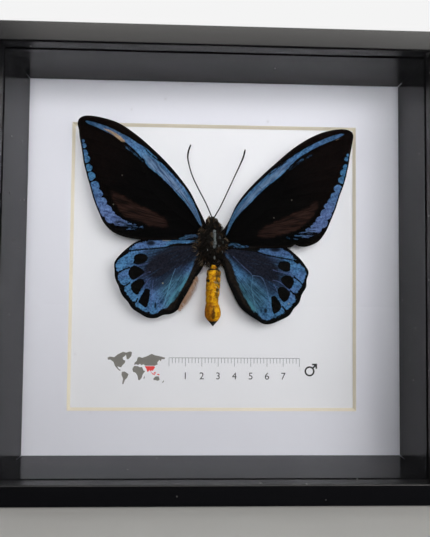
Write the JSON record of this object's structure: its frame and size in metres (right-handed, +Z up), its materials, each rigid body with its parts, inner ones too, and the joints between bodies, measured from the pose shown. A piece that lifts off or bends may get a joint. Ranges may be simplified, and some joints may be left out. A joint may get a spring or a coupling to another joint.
{
  "type": "framed butterfly specimen",
  "caption": "Spread blue and black butterfly mounted in front of a card, behind glass in a deep black square box frame with a bevelled mat.",
  "frame": {"origin": "centre of the underside of the bottom rail, on the surface the frame stands on", "axes": "+Z up, +Y from the glass towards the back board, +X to the viewer's right"},
  "size_m": [0.25, 0.045, 0.25],
  "materials": {
    "rail_top": "satin black foil",
    "rail_right": "satin black foil",
    "rail_bottom": "satin black foil",
    "rail_left": "satin black foil",
    "liner_top": "satin black foil",
    "liner_right": "satin black foil",
    "liner_bottom": "satin black foil",
    "liner_left": "satin black foil",
    "glass_pane": "clear float glass",
    "mat_board": "off-white card with a cream core at its cut",
    "backing_card": "smooth white card with a printed label",
    "back_board": "bare fibreboard",
    "thorax": "matt black down",
    "head": "matt black down",
    "abdomen": "golden dry cuticle with short down",
    "forewing_left": "velvet black and shining blue scales",
    "forewing_right": "velvet black and shining blue scales",
    "hindwing_left": "velvet black and shining blue scales",
    "hindwing_right": "velvet black and shining blue scales",
    "antenna_left": "dry black cuticle",
    "antenna_right": "dry black cuticle",
    "pad": "white foam",
    "tab_top_a": "plain sheet steel",
    "tab_top_b": "plain sheet steel",
    "tab_right_a": "plain sheet steel",
    "tab_right_b": "plain sheet steel",
    "tab_bottom_a": "plain sheet steel",
    "tab_bottom_b": "plain sheet steel",
    "tab_left_a": "plain sheet steel",
    "tab_left_b": "plain sheet steel"
  },
  "bodies": {
    "root": {"rail_top": "rail_top", "rail_right": "rail_right", "rail_bottom": "rail_bottom", "rail_left": "rail_left", "liner_top": "liner_top", "liner_right": "liner_right", "liner_bottom": "liner_bottom", "liner_left": "liner_left", "glass_pane": "glass_pane", "mat_board": "mat_board", "backing_card": "backing_card", "back_board": "back_board", "thorax": "thorax", "head": "head", "abdomen": "abdomen", "forewing_left": "forewing_left", "forewing_right": "forewing_right", "hindwing_left": "hindwing_left", "hindwing_right": "hindwing_right", "antenna_left": "antenna_left", "antenna_right": "antenna_right", "pad": "pad", "tab_top_a": "tab_top_a", "tab_top_b": "tab_top_b", "tab_right_a": "tab_right_a", "tab_right_b": "tab_right_b", "tab_bottom_a": "tab_bottom_a", "tab_bottom_b": "tab_bottom_b", "tab_left_a": "tab_left_a", "tab_left_b": "tab_left_b"}
  },
  "joints": []
}
